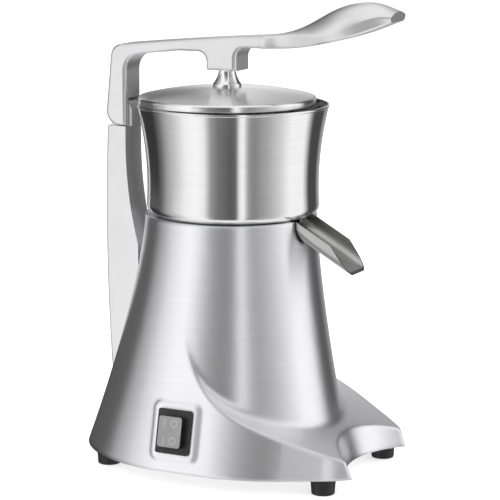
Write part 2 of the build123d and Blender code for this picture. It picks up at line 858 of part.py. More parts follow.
def handle_section(share, crown, under):
    swell_share = max(0.0, share - handle_swell_start) / (1 - handle_swell_start)
    swell = sin(radians(180 * swell_share)) ** handle_swell_power if 0 < swell_share < 1 else 0.0
    neck_half = lever_half_width + handle_lap
    half_width = neck_half + share * (handle_tip_half - neck_half) + handle_swell * swell
    rim_share = 1 + share * (handle_tip_rim - 1)
    rim_share += swell * (handle_leaf_rim - rim_share)
    under_half = half_width - handle_under_draw * min(1.0, share / handle_swell_start)
    height = (crown - under).length
    rim = rim_share * height
    edges = [
        Line((-under_half, 0), (under_half, 0)),
        Line((under_half, 0), (half_width, rim)),
        Line((half_width, rim), (-half_width, rim)) if share == 0 else
        ThreePointArc((half_width, rim), (0, height), (-half_width, rim)),
        Line((-half_width, rim), (-under_half, 0)),
    ]
    outline = make_face(edges)
    edge_round = lever_edge_round + share * (handle_edge_round - lever_edge_round)
    outline = fillet(outline.vertices(), edge_round)
    section_normal = Vector(1, 0, 0).cross(crown - under)
    return Plane(under, x_dir=(1, 0, 0), z_dir=section_normal) * outline


def handle_line(start_z, points, start_tangent, end_slope):
    places = [(arm_end_y, start_z)] + [(arm_end_y - reach, start_z + rise) for reach, rise in points]
    return Plane.YZ * Spline(*places, tangents=(start_tangent, (-1, end_slope)))


def lever_handle():
    crown_start = arm_crown() % 1
    crown_line = handle_line(arm_end_top_z + handle_lap, handle_crown, (crown_start.X, crown_start.Y),
                             handle_crown_end_slope)
    under_line = handle_line(handle_under_z - handle_lap, handle_underside, (-1, 0), handle_under_end_slope)
    sections = []
    for index in range(handle_stations):
        share = index / (handle_stations - 1)
        sections.append(handle_section(share, crown_line @ share, under_line @ share))
    return loft(sections)


def lever():
    casting = lever_arm() + lever_handle()
    slot_top = pivot_z + tongue_top_radius + fork_web_gap
    casting -= span_box(-fork_slot_half, fork_slot_half, pivot_y - 2 * fork_end_radius,
                        pivot_y + 2 * fork_end_radius, shoulder_z, slot_top)
    casting -= lever_pin()
    tang_slot = tang_half + tang_side_clearance
    casting -= span_box(-tang_slot, tang_slot, lid_axis_y - tang_slot_reach, lid_axis_y + tang_slot_reach,
                        block_bottom_z, lid_pin_z + tang_slot_reach)
    return casting - lid_pin()


def lid_pin():
    return bar_x(lid_pin_radius, -lever_half_width + pin_blind_cover, lever_half_width, lid_axis_y, lid_pin_z)


# Lid, knob and press cup turn about the lid axis, so they are drawn about Z and moved back
def lid_section(drop):
    edge_radius = lid_radius - drop
    shoulder = (edge_radius, lid_edge_z + lid_wall_height - drop)
    crown = (knob_bottom_radius, lid_crown_z - drop)
    crown_mid = ((shoulder[0] + crown[0]) / 2, (shoulder[1] + crown[1]) / 2 + lid_crown_bulge)
    edges = [
        Line((0, lid_edge_z), (edge_radius, lid_edge_z)),
        Line((edge_radius, lid_edge_z), shoulder),
        ThreePointArc(shoulder, crown_mid, crown),
        Line(crown, (0, crown[1])),
        Line((0, crown[1]), (0, lid_edge_z)),
    ]
    outline = make_face(edges)
    corner = outline.vertices().sort_by_distance((shoulder[0], shoulder[1], 0))[0]
    return revolve(Plane.XZ * fillet(corner, lid_shoulder_round - drop), axis=Axis.Z)


def press_lid():
    lid = lid_section(0.0) - lid_section(lid_sheet)
    lid -= upright(lid_bolt_radius + panel_clearance, lid_edge_z, lid_crown_z)
    return Pos(0, lid_axis_y, 0) * lid


def lid_knob():
    top_z = block_bottom_z - knob_gap
    foot_z = lid_crown_z + knob_foot_height
    waist = ((knob_bottom_radius + knob_top_radius) / 2 - knob_waist, (foot_z + top_z) / 2)
    edges = [
        Line((0, lid_crown_z), (knob_bottom_radius, lid_crown_z)),
        Line((knob_bottom_radius, lid_crown_z), (knob_bottom_radius, foot_z)),
        ThreePointArc((knob_bottom_radius, foot_z), waist, (knob_top_radius, top_z)),
        Line((knob_top_radius, top_z), (0, top_z)),
        Line((0, top_z), (0, lid_crown_z)),
    ]
    knob = turned(edges)
    knob += span_box(-tang_half, tang_half, -tang_reach, tang_reach, top_z - merge, lid_pin_z)
    knob += bar_x(tang_reach, -tang_half, tang_half, 0, lid_pin_z)
    knob -= bar_x(lid_pin_radius + running_clearance, -tang_half, tang_half, 0, lid_pin_z)
    knob -= upright(lid_bolt_radius + screw_clearance, lid_crown_z, lid_crown_z + lid_bolt_grip)
    return Pos(0, lid_axis_y, 0) * knob


def cup_section(margin):
    mouth = (cup_mouth_radius + margin, cup_mouth_z)
    crown = (cup_boss_radius, cup_crown_z + margin)
    middle = ((mouth[0] + crown[0]) * cup_bulge_out, mouth[1] + (crown[1] - mouth[1]) * cup_bulge_up)
    edges = [
        Line((0, cup_mouth_z), mouth),
        ThreePointArc(mouth, middle, crown),
        Line(crown, (0, crown[1])),
        Line((0, crown[1]), (0, cup_mouth_z)),
    ]
    return turned(edges)


def press_cup():
    cup = cup_section(cup_wall) - cup_section(0.0)
    cup += upright(cup_boss_radius, cup_crown_z + cup_wall / 2, lid_crown_z - lid_sheet)
    cup -= upright(lid_bolt_radius + panel_clearance, cup_mouth_z, lid_crown_z)
    return Pos(0, lid_axis_y, 0) * cup


def lid_bolt():
    bolt = upright(lid_bolt_radius, cup_crown_z, lid_crown_z + lid_bolt_grip)
    bolt += upright(lid_bolt_head_radius, cup_crown_z - lid_bolt_head_height, cup_crown_z)
    return Pos(0, lid_axis_y, 0) * bolt


# Bowl, spout, strainer and reamer
def bowl_section(inset):
    rim = (bowl_rim_radius - inset, bowl_rim_z)
    waist = (bowl_waist_radius - inset, bowl_waist_z)
    low = (bowl_foot_radius - inset, bowl_foot_z)
    corner = bowl_corner_round - inset
    base_z = shelf_z + inset
    drum = drum_radius - inset
    floor_z = well_floor_z + inset
    edges = [
        Line((0, bowl_rim_z), rim),
        ThreePointArc(rim, waist, low),
        Line(low, (low[0], base_z + corner)),
        CenterArc((low[0] - corner, base_z + corner), corner, -90, 90),
        Line((low[0] - corner, base_z), (drum, base_z)),
        Line((drum, base_z), (drum, floor_z + drum_round)),
        CenterArc((drum - drum_round, floor_z + drum_round), drum_round, -90, 90),
        Line((drum - drum_round, floor_z), (0, floor_z)),
        Line((0, floor_z), (0, bowl_rim_z)),
    ]
    return turned(edges)


def juice_bowl():
    bowl = bowl_section(0.0) - bowl_section(bowl_sheet)
    hem_place = Pos(bowl_rim_radius - bowl_hem_radius, bowl_rim_z - bowl_hem_radius)
    bowl += revolve(Plane.XZ * hem_place * Circle(bowl_hem_radius), axis=Axis.Z)
    tube_inner = tube_outer_radius - bowl_sheet
    bowl += upright(tube_outer_radius, well_floor_z, tube_top_z)
    bowl -= upright(tube_inner, well_floor_z - merge, tube_top_z)
    window = trough(-spout_sheet, spout_depth, -spout_root_run, 2 * spout_root_run)
    keep = span_box(-base_side, base_side, -leg_reach, -drum_radius / 2,
                    drum_floor_z, shelf_z - spout_top_gap)
    return bowl - (window & keep)


def spout():
    outer = trough(0.0, spout_depth, -spout_root_run, spout_run + spout_root_run)
    inner = trough(-spout_sheet, spout_depth + merge, -spout_root_run - merge,
                   spout_run + spout_root_run + 2 * merge)
    channel = outer - inner - upright(drum_radius, 0, casting_top_z + leg_run_out)
    room = span_box(-base_side, base_side, -2 * leg_reach, 0, 0, shelf_z - spout_top_gap)
    lip_z = drum_floor_z - (-drum_radius - spout_lip_y) * tan(radians(spout_angle)) - spout_sheet
    rake = Pos(0, spout_lip_y, lip_z) * Rot(-spout_rake, 0, 0) * Pos(0, -leg_reach / 2, 0)
    return (channel & room) - rake * Box(leg_reach, leg_reach, leg_reach)


def spout_seal():
    band = trough(seal_thickness, spout_depth + merge, -spout_root_run, spout_run)
    band -= trough(0.0, spout_slot_height, -spout_root_run - merge, spout_run + 2 * merge)
    wall = upright(tower_top_front - seal_inset, 0, shelf_z - spout_top_gap)
    wall -= upright(well_radius + seal_inset, 0, shelf_z)
    return band & wall


def strainer_basket():
    low_z = shelf_z + bowl_sheet
    radius = strainer_radius - strainer_sheet
    edges = Polyline(
        (strainer_hole_radius, low_z), (strainer_radius, low_z), (strainer_top_radius, strainer_top_z),
        (strainer_top_radius - strainer_sheet, strainer_top_z), (radius, low_z + strainer_sheet),
        (strainer_hole_radius, low_z + strainer_sheet), (strainer_hole_radius, low_z)).edges()
    basket = turned(edges)
    length = strainer_slot_outer - strainer_slot_inner
    for index in range(strainer_slots):
        turn = Rot(0, 0, index * 360.0 / strainer_slots)
        slot_length = length * strainer_short_share if index % 2 else length
        slot = Box(slot_length, strainer_slot_width, 4 * strainer_sheet)
        basket -= turn * Pos(strainer_slot_outer - slot_length / 2, 0, low_z) * slot
    return basket


def reamer_outline(radius, base_z):
    bulge = (reamer_bulge_out * radius, base_z + reamer_bulge_up * (reamer_tip_z - base_z))
    tip = (reamer_tip_radius / 2, reamer_tip_z)
    return [
        Line((0, base_z), (radius, base_z)),
        ThreePointArc((radius, base_z), bulge, tip),
        Line(tip, (0, reamer_tip_z)),
        Line((0, reamer_tip_z), (0, base_z)),
    ]


def reamer():
    low_z = shelf_z + bowl_sheet + strainer_sheet + reamer_gap
    base_z = low_z + reamer_flange_height
    body = turned(reamer_outline(reamer_core_radius, base_z))
    rib_face = Plane.XZ * make_face(reamer_outline(reamer_rib_radius, base_z))
    rib = extrude(rib_face, amount=reamer_rib_width / 2, both=True)
    for index in range(reamer_ribs):
        body += Rot(0, 0, index * 360.0 / reamer_ribs) * rib
    body += upright(reamer_flange_radius, low_z, base_z)
    body -= upright(tube_outer_radius + reamer_hub_clearance, low_z, tube_top_z + reamer_hub_clearance)
    return body - shaft_tip(screw_clearance)


def shaft_tip(clearance):
    tip = upright(shaft_radius + clearance, tube_top_z, shaft_top_z + clearance)
    flat = shaft_flat + clearance
    return tip - span_box(flat, 2 * shaft_radius, -2 * shaft_radius, 2 * shaft_radius,
                          tube_top_z, 2 * shaft_top_z)


def drive_shaft():
    body = upright(shaft_radius, shaft_bottom_z, tube_top_z) + shaft_tip(0.0)
    return chamfer(body.edges().group_by(Axis.Z)[0], shaft_tip_chamfer)


# Motor
def bolt_holes(low_z, high_z):
    holes = None
    for x, y in on_circle(tie_bolt_count, tie_bolt_circle):
        hole = upright(tie_bolt_radius + screw_clearance, low_z, high_z, x, y)
        holes = hole if holes is None else holes + hole
    return holes


def upper_shield():
    shield = upright(stator_radius, upper_bearing_z, upper_shield_top_z)
    shield += ring(stator_radius, shield_skirt_inner, stator_top_z, upper_bearing_z)
    shield -= upright(bearing_radius, upper_bearing_z, upper_shield_top_z)
    for x, y in on_circle(mount_screw_count, mount_screw_circle, mount_screw_turn):
        shield -= upright(mount_screw_radius + screw_clearance, upper_shield_top_z - mount_screw_grip,
                          upper_shield_top_z, x, y)
    return shield - bolt_holes(stator_top_z, upper_bearing_z + tie_head_height)


def lower_shield():
    shield = upright(stator_radius, lower_bearing_z, lower_shield_top_z)
    shield += ring(stator_radius, shield_skirt_inner, lower_shield_top_z, stator_bottom_z)
    shield -= upright(bearing_radius, lower_bearing_z, lower_shield_top_z)
    return shield - bolt_holes(lower_bearing_z, stator_bottom_z)


def stator_core():
    core = ring(stator_radius, stator_bore_radius, stator_bottom_z, stator_top_z)
    return core - bolt_holes(stator_bottom_z, stator_top_z)


def winding(low_z):
    coil = ring(winding_outer_radius, winding_inner_radius, low_z, low_z + winding_height)
    far_end = -1 if low_z == stator_top_z else 0
    return fillet(coil.edges().group_by(Axis.Z)[far_end], winding_round)


def bearing(low_z):
    return ring(bearing_radius, shaft_radius + running_clearance, low_z, low_z + bearing_width)


def tie_bolts():
    bolts = []
    for x, y in on_circle(tie_bolt_count, tie_bolt_circle):
        bolts.append(pan_screw(tie_bolt_radius, tie_head_radius, tie_head_height, lower_bearing_z,
                               upper_bearing_z + tie_head_height, x, y))
    return group(bolts)


def mount_screws():
    screws = []
    for x, y in on_circle(mount_screw_count, mount_screw_circle, mount_screw_turn):
        screws.append(pan_screw(mount_screw_radius, mount_head_radius, mount_head_height,
                                well_floor_z - mount_head_height,
                                upper_shield_top_z - mount_screw_grip, x, y))
    return group(screws)


def rotor():
    core = ring(stator_bore_radius - air_gap, shaft_radius, stator_bottom_z, stator_top_z)
    for low_z in (stator_bottom_z - rotor_ring_height, stator_top_z):
        core += ring(rotor_ring_radius, shaft_radius, low_z, low_z + rotor_ring_height)
    return core


def cooling_fan():
    top_z = lower_bearing_z - fan_gap - tie_head_height
    low_z = top_z - fan_height
    fan = ring(fan_hub_radius, shaft_radius, low_z, top_z)
    fan += ring(fan_radius, fan_hub_radius - merge, top_z - fan_plate, top_z)
    blade_length_out = fan_radius - fan_hub_radius
    for index in range(fan_blades):
        blade = Pos(fan_hub_radius + blade_length_out / 2 - merge, 0, (low_z + top_z - fan_plate) / 2)
        blade *= Box(blade_length_out, fan_blade_width, fan_height - fan_plate)
        fan += Rot(0, 0, index * 360.0 / fan_blades) * blade
    return fan


def shaft_seal():
    return ring(seal_ring_radius, shaft_radius + seal_ring_clearance, cavity_top_z, well_floor_z)


nodes = {
    "body_casting": body_casting(),
    "rear_column": rear_column(),
    "column_screws": column_screws(),
    "pivot_bush": pivot_bush(),
    "base_plate": base_plate(),
    "foot_screws": foot_screws(),
    "juice_bowl": juice_bowl(),
    "spout": spout(),
    "spout_seal": spout_seal(),
    "strainer_basket": strainer_basket(),
    "shaft_seal": shaft_seal(),
    "upper_shield": upper_shield(),
    "lower_shield": lower_shield(),
    "stator_core": stator_core(),
    "upper_winding": winding(stator_top_z),
    "lower_winding": winding(stator_bottom_z - winding_height),
    "upper_bearing": bearing(upper_bearing_z),
    "lower_bearing": bearing(lower_bearing_z),
    "tie_bolts": tie_bolts(),
    "mount_screws": mount_screws(),
    "run_capacitor": run_capacitor(),
    "capacitor_holder": capacitor_holder(),
    "terminal_block": terminal_block(),
    "cable_gland": cable_gland(),
    "gland_nut": gland_nut(),
    "switch_housing": switch_housing(),
    "switch_boot": switch_boot(),
    "switch_blades": switch_blades(),
    "rocker": rocker(),
    "lever": lever(),
    "lever_pin": lever_pin(),
    "lid_pin": lid_pin(),
    "lid_knob": lid_knob(),
    "press_lid": press_lid(),
    "press_cup": press_cup(),
    "lid_bolt": lid_bolt(),
    "drive_shaft": drive_shaft(),
    "rotor": rotor(),
    "cooling_fan": cooling_fan(),
    "reamer": reamer(),
}
for foot_name, (foot_x, foot_y) in foot_places().items():
    nodes[foot_name] = foot(foot_x, foot_y)

os.makedirs("parts", exist_ok=True)
for name, shape in nodes.items():
    export_step(shape, f"parts/{name}.step")
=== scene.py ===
import bpy
import json
import math
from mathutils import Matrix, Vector

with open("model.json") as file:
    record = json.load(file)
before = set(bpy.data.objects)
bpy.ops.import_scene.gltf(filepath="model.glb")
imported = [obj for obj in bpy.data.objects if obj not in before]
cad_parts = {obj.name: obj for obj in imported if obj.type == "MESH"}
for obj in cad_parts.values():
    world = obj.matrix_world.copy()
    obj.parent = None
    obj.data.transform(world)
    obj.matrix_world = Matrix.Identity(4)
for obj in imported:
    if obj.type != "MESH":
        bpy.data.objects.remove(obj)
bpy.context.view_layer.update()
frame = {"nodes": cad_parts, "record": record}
nodes = frame["nodes"]
print("frame loaded:", len(nodes), "nodes")

# helpers for shader trees

unit = (0.0, 1.0)
white = (1.0, 1.0, 1.0, 1.0)
black = (0.0, 0.0, 0.0, 1.0)


def grey(value, tint=0.0):
    # a tint above 0 is cooler, one below 0 is warmer
    return (value, value, value * (1.0 + tint))


def newGroup(name, inputs, outputs):
    group = bpy.data.node_groups.new(name, "ShaderNodeTree")
    for label, value in inputs:
        socket = group.interface.new_socket(name=label, in_out="INPUT", socket_type="NodeSocketFloat")
        socket.default_value = value
    for label in outputs:
        group.interface.new_socket(name=label, in_out="OUTPUT", socket_type="NodeSocketFloat")
    start = group.nodes.new("NodeGroupInput")
    end = group.nodes.new("NodeGroupOutput")
    return group, start, end


def newMaterial(name):
    material = bpy.data.materials.new(name)
    material.use_nodes = True
    return material, material.node_tree


def addMath(tree, operation, first, second=None):
    node = tree.nodes.new("ShaderNodeMath")
    node.operation = operation
    for slot, value in enumerate((first, second)):
        if value is None:
            continue
        if isinstance(value, (int, float)):
            node.inputs[slot].default_value = value
        else:
            tree.links.new(value, node.inputs[slot])
    return node.outputs[0]


def addLength(tree, first, second):
    squares = [addMath(tree, "MULTIPLY", side, side) for side in (first, second)]
    return addMath(tree, "SQRT", addMath(tree, "ADD", *squares))


def addNoise(tree, vector, scale, detail, roughness):
    node = tree.nodes.new("ShaderNodeTexNoise")
    tree.links.new(vector, node.inputs["Vector"])
    if isinstance(scale, (int, float)):
        node.inputs["Scale"].default_value = scale
    else:
        tree.links.new(scale, node.inputs["Scale"])
    node.inputs["Detail"].default_value = detail
    node.inputs["Roughness"].default_value = roughness
    return node.outputs["Fac"]


def addRange(tree, value, source, target):
    node = tree.nodes.new("ShaderNodeMapRange")
    tree.links.new(value, node.inputs["Value"])
    labels = ("From Min", "From Max", "To Min", "To Max")
    for label, limit in zip(labels, (*source, *target)):
        node.inputs[label].default_value = limit
    return node.outputs["Result"]


def addMix(tree, share, first, second):
    # each side is a colour or a socket
    node = tree.nodes.new("ShaderNodeMix")
    node.data_type = "RGBA"
    tree.links.new(share, node.inputs["Factor"])
    for label, colour in (("A", first), ("B", second)):
        if isinstance(colour, tuple):
            node.inputs[label].default_value = (*colour, 1.0)
        else:
            tree.links.new(colour, node.inputs[label])
    return node.outputs["Result"]


# shader groups

brush = {
    "lines": 900.0,
    "wander": 3.0,
    # scale, detail and roughness of each noise
    "streak": (1.0, 4.0, 0.7),
    "band": (0.22, 5.0, 0.75),
    "cloud": (28.0, 3.0, 0.55),
}


def makeTurnedBrush():
    # fine lines that run round the Z axis, as left by a turning brush
    group, start, end = newGroup("turnedBrush", (("Lines", brush["lines"]), ("Wander", brush["wander"])),
                                 ("Streak", "Cloud", "Band"))
    place = group.nodes.new("ShaderNodeTexCoord").outputs["Object"]
    parts = group.nodes.new("ShaderNodeSeparateXYZ")
    group.links.new(place, parts.inputs[0])
    x, y, z = parts.outputs
    angle = addMath(group, "ARCTAN2", y, x)
    along = addMath(group, "MULTIPLY", addMath(group, "SINE", angle), start.outputs["Wander"])
    climb = addMath(group, "ADD", z, addLength(group, x, y))
    across = addMath(group, "MULTIPLY", climb, start.outputs["Lines"])
    lines = group.nodes.new("ShaderNodeCombineXYZ")
    group.links.new(along, lines.inputs[0])
    group.links.new(across, lines.inputs[1])
    group.links.new(addMath(group, "COSINE", angle), lines.inputs[2])
    group.links.new(addNoise(group, lines.outputs[0], *brush["streak"]), end.inputs["Streak"])
    group.links.new(addNoise(group, lines.outputs[0], *brush["band"]), end.inputs["Band"])
    group.links.new(addNoise(group, place, *brush["cloud"]), end.inputs["Cloud"])
    return group


grain = {
    "pits": 2600.0,
    "clouds": 40.0,
    "pitDetail": 2.0,
    "cloudDetail": 4.0,
    "roughness": 0.55,
}


def makeCastGrain():
    # small pits and slow clouds of a blasted or moulded surface
    group, start, end = newGroup("castGrain", (("Pits", grain["pits"]), ("Clouds", grain["clouds"])),
                                 ("Pit", "Cloud"))
    place = group.nodes.new("ShaderNodeTexCoord").outputs["Object"]
    pits = addNoise(group, place, start.outputs["Pits"], grain["pitDetail"], grain["roughness"])
    clouds = addNoise(group, place, start.outputs["Clouds"], grain["cloudDetail"], grain["roughness"])
    group.links.new(pits, end.inputs["Pit"])
    group.links.new(clouds, end.inputs["Cloud"])
    return group


# the switch boot: place, lean and face of its solid, then its marks and its tones, with painted shade on
# its side walls
boot = {
    "place": (-0.09818, 0.0032, 0.046),
    "lean": math.radians(12.7),
    "faceDepth": 0.0086,
    "wallBlend": 0.0004,
    "markHeight": 0.0070,
    "markReach": 0.0027,
    "markBlend": 0.0002,
    "barPlace": -0.0050,
    "ringPlace": 0.0034,
    "stroke": 0.0006,
    "faceTones": (0.29, 0.35),
    # near-black painted shade on the boot's side walls
    "wallPaintedShade": 0.012,
    "markTone": 0.62,
    "markShare": 0.35,
    "rough": (0.26, 0.38),
    "pits": 1500.0,
    "bump": 0.05,
}


def makeBootFace():
    # the flat face of the switch boot, with an I and an O on its upper and on its lower half
    group, start, end = newGroup("bootFace", (("Stroke", boot["stroke"]),), ("Face", "Mark"))
    offset = group.nodes.new("ShaderNodeVectorMath")
    offset.operation = "SUBTRACT"
    group.links.new(group.nodes.new("ShaderNodeTexCoord").outputs["Object"], offset.inputs[0])
    offset.inputs[1].default_value = boot["place"]

    def measure(direction):
        node = group.nodes.new("ShaderNodeVectorMath")
        node.operation = "DOT_PRODUCT"
        group.links.new(offset.outputs[0], node.inputs[0])
        node.inputs[1].default_value = direction
        return node.outputs["Value"]

    def distance(value, place):
        return addMath(group, "ABSOLUTE", addMath(group, "SUBTRACT", value, place))

    cosine, sine = math.cos(boot["lean"]), math.sin(boot["lean"])
    across = measure((0, -1, 0))
    upward = measure((sine, 0, cosine))
    outward = measure((-cosine, 0, sine))
    fromMiddle = distance(addMath(group, "ABSOLUTE", upward), boot["markHeight"])
    fromBar = distance(across, boot["barPlace"])
    fromRing = addMath(group, "SUBTRACT", across, boot["ringPlace"])
    bar = addMath(group, "MAXIMUM", fromBar, addMath(group, "SUBTRACT", fromMiddle, boot["markReach"]))
    ring = distance(addLength(group, fromRing, fromMiddle), boot["markReach"])
    nearest = addMath(group, "SUBTRACT", start.outputs["Stroke"], addMath(group, "MINIMUM", bar, ring))
    markEdge = (-boot["markBlend"], boot["markBlend"])
    wallEdge = (boot["faceDepth"] - boot["wallBlend"], boot["faceDepth"])
    group.links.new(addRange(group, nearest, markEdge, unit), end.inputs["Mark"])
    # the Face mask marks where the walls below the face take painted shade
    group.links.new(addRange(group, outward, wallEdge, unit), end.inputs["Face"])
    return group


turnedBrush = makeTurnedBrush()
castGrain = makeCastGrain()
bootFace = makeBootFace()

# finishes

surface = {
    "noiseRange": (0.3, 0.7),
    "metalDepth": 0.0002,
    "mouldedDepth": 0.0003,
    "windingDepth": 0.0006,
    "bevelSamples": 8,
    "quarterTurn": 0.25,
}


def newFinish(name, group, settings, colours, metallic, rough, bump, depth, reliefFrom, toneFrom="Cloud",
              anisotropic=0.0, soften=0.0):
    # one principled shader: the group's output toneFrom varies the colour, and its output reliefFrom varies
    # roughness and bump; soften rounds the look of sharp edges by that radius
    material, tree = newMaterial(name)
    shader = tree.nodes["Principled BSDF"]
    shader.inputs["Metallic"].default_value = metallic
    detail = tree.nodes.new("ShaderNodeGroup")
    detail.node_tree = group
    for label, value in settings.items():
        detail.inputs[label].default_value = value
    share = addRange(tree, detail.outputs[toneFrom], surface["noiseRange"], unit)
    tree.links.new(addMix(tree, share, *colours), shader.inputs["Base Color"])
    roughness = addRange(tree, detail.outputs[reliefFrom], surface["noiseRange"], rough)
    tree.links.new(roughness, shader.inputs["Roughness"])
    relief = tree.nodes.new("ShaderNodeBump")
    relief.inputs["Strength"].default_value = bump
    relief.inputs["Distance"].default_value = depth
    tree.links.new(detail.outputs[reliefFrom], relief.inputs["Height"])
    tree.links.new(relief.outputs["Normal"], shader.inputs["Normal"])
    if soften:
        rounded = tree.nodes.new("ShaderNodeBevel")
        rounded.samples = surface["bevelSamples"]
        rounded.inputs["Radius"].default_value = soften
        tree.links.new(rounded.outputs["Normal"], relief.inputs["Normal"])
    if anisotropic:
        shader.inputs["Anisotropic"].default_value = anisotropic
        shader.inputs["Anisotropic Rotation"].default_value = surface["quarterTurn"]
        tangent = tree.nodes.new("ShaderNodeTangent")
        tangent.direction_type = "RADIAL"
        tangent.axis = "Z"
        tree.links.new(tangent.outputs[0], shader.inputs["Tangent"])
    return material


def brushedMetal(name, tone, rough, lines, bump=0.04, anisotropic=0.5, tint=0.0, soften=0.0):
    colours = (grey(tone[0], tint), grey(tone[1], tint))
    return newFinish(name, turnedBrush, {"Lines": lines}, colours, metallic=1.0, rough=rough, bump=bump,
                     depth=surface["metalDepth"], reliefFrom="Streak", toneFrom="Band",
                     anisotropic=anisotropic, soften=soften)


def castMetal(name, tone, rough, pits=2600.0, bump=0.06, tint=0.0):
    colours = (grey(tone[0], tint), grey(tone[1], tint))
    return newFinish(name, castGrain, {"Pits": pits}, colours, metallic=1.0, rough=rough, bump=bump,
                     depth=surface["metalDepth"], reliefFrom="Pit")


def moulded(name, colours, rough, pits=2200.0, bump=0.12):
    return newFinish(name, castGrain, {"Pits": pits}, colours, metallic=0.0, rough=rough, bump=bump,
                     depth=surface["mouldedDepth"], reliefFrom="Pit")


def blackMoulded(name, tone, rough):
    return moulded(name, (grey(tone[0]), grey(tone[1])), rough)


def bushFinish():
    colours = ((0.62, 0.44, 0.18), (0.74, 0.56, 0.26))
    return newFinish("bushBrass", castGrain, {}, colours, metallic=1.0, rough=(0.25, 0.4), bump=0.05,
                     depth=surface["metalDepth"], reliefFrom="Pit")


def windingFinish():
    colours = ((0.50, 0.20, 0.09), (0.66, 0.32, 0.15))
    return newFinish("windingCopper", turnedBrush, {"Lines": 700.0}, colours, metallic=1.0,
                     rough=(0.3, 0.45), bump=0.4, depth=surface["windingDepth"], reliefFrom="Streak")


def bootFinish():
    # grey face with faint marks; the side walls get painted shade, near-black
    colours = tuple(grey(tone) for tone in boot["faceTones"])
    material = moulded("bootRubber", colours, boot["rough"], boot["pits"], boot["bump"])
    tree = material.node_tree
    shader = tree.nodes["Principled BSDF"]
    face = tree.nodes.new("ShaderNodeGroup")
    face.node_tree = bootFace
    plain = shader.inputs["Base Color"].links[0].from_socket
    share = addMath(tree, "MULTIPLY", face.outputs["Mark"], boot["markShare"])
    marked = addMix(tree, share, plain, grey(boot["markTone"]))
    # the side walls below the face are painted near-black as painted shade
    shadedWalls = addMix(tree, face.outputs["Face"], grey(boot["wallPaintedShade"]), marked)
    tree.links.new(shadedWalls, shader.inputs["Base Color"])
    return material


finishes = {
    "body_aluminium": brushedMetal("bodyAluminium", tone=(0.925, 0.985), rough=(0.37, 0.40), lines=2600.0,
                                   bump=0.005, anisotropic=0.85, tint=0.02, soften=0.005),
    "grey_aluminium": castMetal("greyAluminium", tone=(0.83, 0.87), rough=(0.34, 0.40), pits=2400.0,
                                bump=0.03, tint=0.01),
    "bowl_steel": brushedMetal("bowlSteel", tone=(0.81, 0.87), rough=(0.12, 0.15), lines=2600.0,
                               bump=0.006, anisotropic=0.8),
    "spout_steel": brushedMetal("spoutSteel", tone=(0.46, 0.56), rough=(0.24, 0.36), lines=900.0,
                                bump=0.05, anisotropic=0.2, tint=-0.01),
    "knob_chrome": castMetal("knobChrome", tone=(0.88, 0.93), rough=(0.04, 0.08), pits=900.0, bump=0.01),
    "cup_aluminium": castMetal("cupAluminium", tone=(0.62, 0.72), rough=(0.38, 0.5)),
    "black_rubber": blackMoulded("blackRubber", tone=(0.010, 0.022), rough=(0.45, 0.62)),
    "boot_rubber": bootFinish(),
    "black_plastic": blackMoulded("blackPlastic", tone=(0.012, 0.024), rough=(0.30, 0.42)),
    "pale_plastic": moulded("palePlastic", ((0.70, 0.69, 0.64), (0.78, 0.77, 0.72)), rough=(0.35, 0.5)),
    "reamer_plastic": moulded("reamerPlastic", ((0.80, 0.80, 0.77), (0.86, 0.86, 0.83)),
                              rough=(0.18, 0.28)),
    "zinc_steel": castMetal("zincSteel", tone=(0.56, 0.66), rough=(0.28, 0.42)),
    "bearing_steel": brushedMetal("bearingSteel", tone=(0.58, 0.66), rough=(0.14, 0.24), lines=1500.0),
    "bush_brass": bushFinish(),
    "motor_casting": castMetal("motorCasting", tone=(0.48, 0.58), rough=(0.45, 0.6), pits=1400.0,
                               bump=0.15),
    "laminations": castMetal("laminations", tone=(0.14, 0.22), rough=(0.45, 0.6), pits=1800.0,
                             bump=0.15),
    "winding_copper": windingFinish(),
}
# finishes of single nodes, where the slot's own finish is not close enough
ownFinishes = {
    "press_lid": brushedMetal("lidSteel", tone=(0.88, 0.93), rough=(0.17, 0.22), lines=2600.0,
                              bump=0.006, anisotropic=0.9),
    "lever": castMetal("leverAluminium", tone=(0.82, 0.87), rough=(0.33, 0.39), pits=2400.0,
                       bump=0.03, tint=0.01),
}
slotOf = {row["node"]: row["material_slot"] for row in frame["record"]["subparts"]}
for name, node in nodes.items():
    node.data.materials.clear()
    node.data.materials.append(ownFinishes.get(name) or finishes[slotOf[name]])

# broad flat faces beside small rounds keep their own normals
flatFaced = {
    "nodes": ("lever", "rear_column"),
    "weight": 100,
}
for name in flatFaced["nodes"]:
    weights = nodes[name].modifiers.new("faceWeights", "WEIGHTED_NORMAL")
    weights.keep_sharp = True
    weights.weight = flatFaced["weight"]
print("finishes placed:", len(finishes) + len(ownFinishes))

# studio: camera, white surround, floor, reflection cards, lamps

scene = bpy.context.scene


def newSheet(name, points, faces):
    mesh = bpy.data.meshes.new(name)
    mesh.from_pydata(points, [], faces)
    sheet = bpy.data.objects.new(name, mesh)
    scene.collection.objects.link(sheet)
    return sheet


def squareCorners(reach, height):
    sides = ((-reach, -reach), (reach, -reach), (reach, reach), (-reach, reach))
    return [(x, y, height) for x, y in sides]


def aimAt(holder, target):
    holder.rotation_euler = (Vector(target) - holder.location).to_track_quat("-Z", "Y").to_euler()


view = {
    "place": (-1.6017, -0.8213, 0.51835),
    "aim": (0.0, 0.0, 0.190),
    "lens": 157.2,
    "sensor": 36.0,
    "shift": (0.0338, -0.0237),
    "clip": (0.05, 50.0),
}


def placeCamera():
    lens = bpy.data.cameras.new("camera")
    lens.lens = view["lens"]
    lens.sensor_width = view["sensor"]
    lens.shift_x, lens.shift_y = view["shift"]
    lens.clip_start, lens.clip_end = view["clip"]
    camera = bpy.data.objects.new("camera", lens)
    camera.location = view["place"]
    aimAt(camera, view["aim"])
    scene.collection.objects.link(camera)
    scene.camera = camera


# the surround is a little dimmer as a light than it looks
surround = {
    "light": 0.85,
    "look": 1.0,
}


